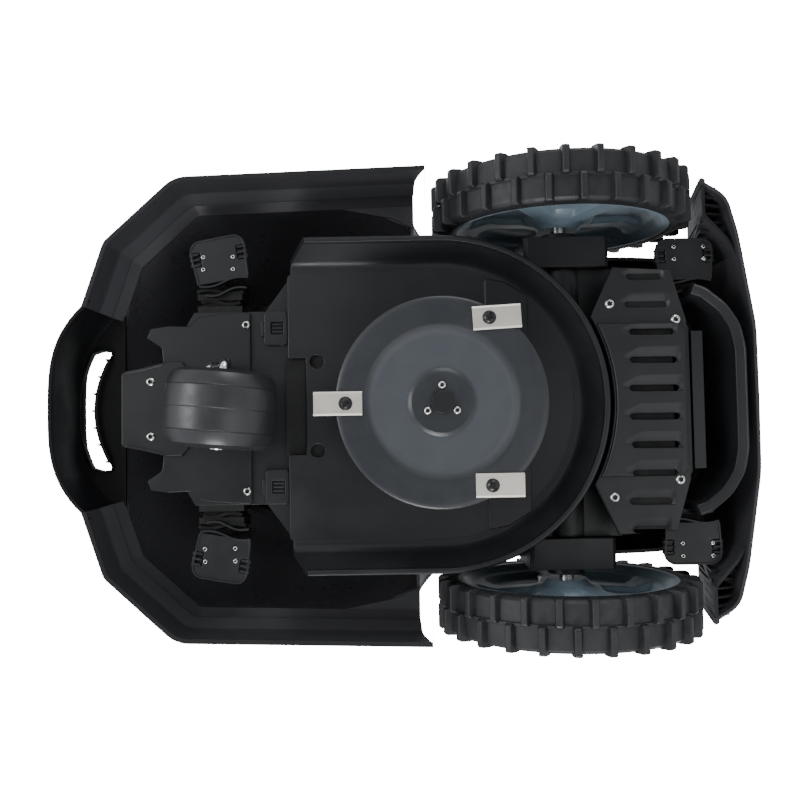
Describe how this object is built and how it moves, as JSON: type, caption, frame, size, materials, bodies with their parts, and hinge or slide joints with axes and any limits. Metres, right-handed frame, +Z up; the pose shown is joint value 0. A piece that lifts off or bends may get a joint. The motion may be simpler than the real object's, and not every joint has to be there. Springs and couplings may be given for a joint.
{
  "type": "robotic lawn mower",
  "caption": "Battery robotic lawn mower: two lugged drive wheels, front caster, floating shell, spinning disc with pivoting blades and a lidded control console.",
  "frame": {"origin": "centre of the footprint, on the ground under the wheels", "axes": "+Z up, -Y towards the nose, +X towards the mower's left"},
  "size_m": [0.372, 0.552, 0.261],
  "materials": {
    "shell_black": "satin, fine mould texture",
    "skirt_black": "satin, fine mould texture",
    "chassis_black": "satin",
    "cap_black": "satin",
    "console_black": "semi-gloss",
    "lid_grey": "semi-gloss",
    "trim_grey": "satin",
    "screen_glass": "smoked",
    "display": "gloss",
    "stop_red": "gloss",
    "key_grey": "satin",
    "rubber_black": "matt",
    "tyre_rubber": "matt",
    "caster_rubber": "matt",
    "hub_blue_grey": "satin",
    "disc_plastic": "satin, scuffed",
    "blade_steel": "brushed",
    "screw_steel": "zinc plated",
    "dark_screw": "black oxide",
    "rod_steel": "bright",
    "motor_metal": "satin",
    "brass_contact": "satin",
    "battery_blue": "shrink wrap",
    "board_green": "solder mask"
  },
  "bodies": {
    "chassis": {"chassis_tub": "chassis_black", "chassis_lid": "chassis_black", "tub_gasket": "rubber_black", "front_plate": "chassis_black", "latch_doors": "cap_black", "caster_bracket": "chassis_black", "caster_bush": "rod_steel", "battery_pack": "battery_blue", "main_board": "board_green", "deck_skirt": "chassis_black", "lift_guides": "rod_steel", "rear_cover": "chassis_black", "gearbox_left": "chassis_black", "gearbox_right": "chassis_black", "drive_motor_left": "motor_metal", "drive_motor_right": "motor_metal", "dock_rim": "chassis_black", "contact_block": "cap_black", "charge_contacts": "brass_contact", "chassis_screws": "screw_steel", "suspension_boots": "rubber_black", "console": "console_black", "display_screen": "display", "lid_pin": "rod_steel"},
    "float_frame": {"suspension_caps": "cap_black", "joystick_rods": "rod_steel", "cap_screws": "screw_steel"},
    "shell": {"hood": "shell_black", "shell_posts": "shell_black", "skirt_left": "skirt_black", "skirt_right": "skirt_black", "nose_bumper": "skirt_black", "grip_strip": "rubber_black", "rear_bumper": "skirt_black", "opening_trim": "trim_grey"},
    "lid": {"control_lid": "lid_grey", "lid_window": "screen_glass"},
    "stop": {"stop_button": "stop_red"},
    "power_key": {"key_power": "key_grey"},
    "home_key": {"key_home": "key_grey"},
    "start_key": {"key_start": "key_grey"},
    "knob": {"height_knob": "trim_grey", "lift_spindle": "rod_steel"},
    "cutting_head": {"blade_motor": "motor_metal", "head_carrier": "cap_black"},
    "disc": {"blade_disc": "disc_plastic", "disc_cap": "chassis_black", "hub_screws": "screw_steel", "blade_screws": "dark_screw"},
    "blade_a": {"blade_1": "blade_steel"},
    "blade_b": {"blade_2": "blade_steel"},
    "blade_c": {"blade_3": "blade_steel"},
    "wheel_left": {"tyre_left": "tyre_rubber", "hub_left": "hub_blue_grey", "axle_left": "rod_steel"},
    "wheel_right": {"tyre_right": "tyre_rubber", "hub_right": "hub_blue_grey", "axle_right": "rod_steel"},
    "caster_arm": {"caster_fork": "rod_steel"},
    "caster_roller": {"caster_wheel": "caster_rubber"}
  },
  "joints": [
    {"name": "shell_bump", "type": "slide", "parent": "chassis", "child": "float_frame", "axis": [0, 1, 0], "range_m": [-0.005, 0.005], "stiffness_N_per_m": 1500},
    {"name": "shell_lift", "type": "slide", "parent": "float_frame", "child": "shell", "axis": [0, 0, 1], "range_m": [0, 0.008]},
    {"name": "lid_hinge", "type": "hinge", "parent": "chassis", "child": "lid", "pos_m": [0, -0.059, 0.251], "axis": [1, 0, 0], "range_deg": [0, 105]},
    {"name": "stop_press", "type": "slide", "parent": "chassis", "child": "stop", "axis": [0, 0, 1], "range_m": [-0.004, 0], "stiffness_N_per_m": 500, "springref_m": 0.0015},
    {"name": "power_press", "type": "slide", "parent": "chassis", "child": "power_key", "axis": [0, 0, 1], "range_m": [-0.001, 0], "stiffness_N_per_m": 300, "springref_m": 0.0005},
    {"name": "home_press", "type": "slide", "parent": "chassis", "child": "home_key", "axis": [0, 0, 1], "range_m": [-0.001, 0], "stiffness_N_per_m": 300, "springref_m": 0.0005},
    {"name": "start_press", "type": "slide", "parent": "chassis", "child": "start_key", "axis": [0, 0, 1], "range_m": [-0.001, 0], "stiffness_N_per_m": 300, "springref_m": 0.0005},
    {"name": "head_lift", "type": "slide", "parent": "chassis", "child": "cutting_head", "axis": [0, 0, 1], "range_m": [-0.015, 0.025]},
    {"name": "knob_turn", "type": "hinge", "parent": "chassis", "child": "knob", "pos_m": [0, -0.036, 0.24], "axis": [0, 0, 1], "range_deg": [-112.6, 187.6]},
    {"name": "disc_spin", "type": "hinge", "parent": "cutting_head", "child": "disc", "pos_m": [0, 0.0277, 0.04], "axis": [0, 0, 1], "continuous": true},
    {"name": "blade_1_swing", "type": "hinge", "parent": "disc", "child": "blade_a", "pos_m": [0, -0.0448, 0.039], "axis": [0, 0, 1], "continuous": true},
    {"name": "blade_2_swing", "type": "hinge", "parent": "disc", "child": "blade_b", "pos_m": [0.06279, 0.06395, 0.039], "axis": [0, 0, 1], "continuous": true},
    {"name": "blade_3_swing", "type": "hinge", "parent": "disc", "child": "blade_c", "pos_m": [-0.06279, 0.06395, 0.039], "axis": [0, 0, 1], "continuous": true},
    {"name": "wheel_left_roll", "type": "hinge", "parent": "chassis", "child": "wheel_left", "pos_m": [0.161, 0.1295, 0.105], "axis": [1, 0, 0], "continuous": true},
    {"name": "wheel_right_roll", "type": "hinge", "parent": "chassis", "child": "wheel_right", "pos_m": [-0.161, 0.1295, 0.105], "axis": [1, 0, 0], "continuous": true},
    {"name": "caster_swivel", "type": "hinge", "parent": "chassis", "child": "caster_arm", "pos_m": [0, -0.168, 0.1], "axis": [0, 0, 1], "continuous": true},
    {"name": "caster_roll", "type": "hinge", "parent": "caster_arm", "child": "caster_roller", "pos_m": [-0.00253, -0.13911, 0.042], "axis": [0.9962, 0.0872, 0], "continuous": true}
  ],
  "couplings": [
    {"joint": "knob_turn", "follows": "head_lift", "rad_per_m": 130.9}
  ]
}
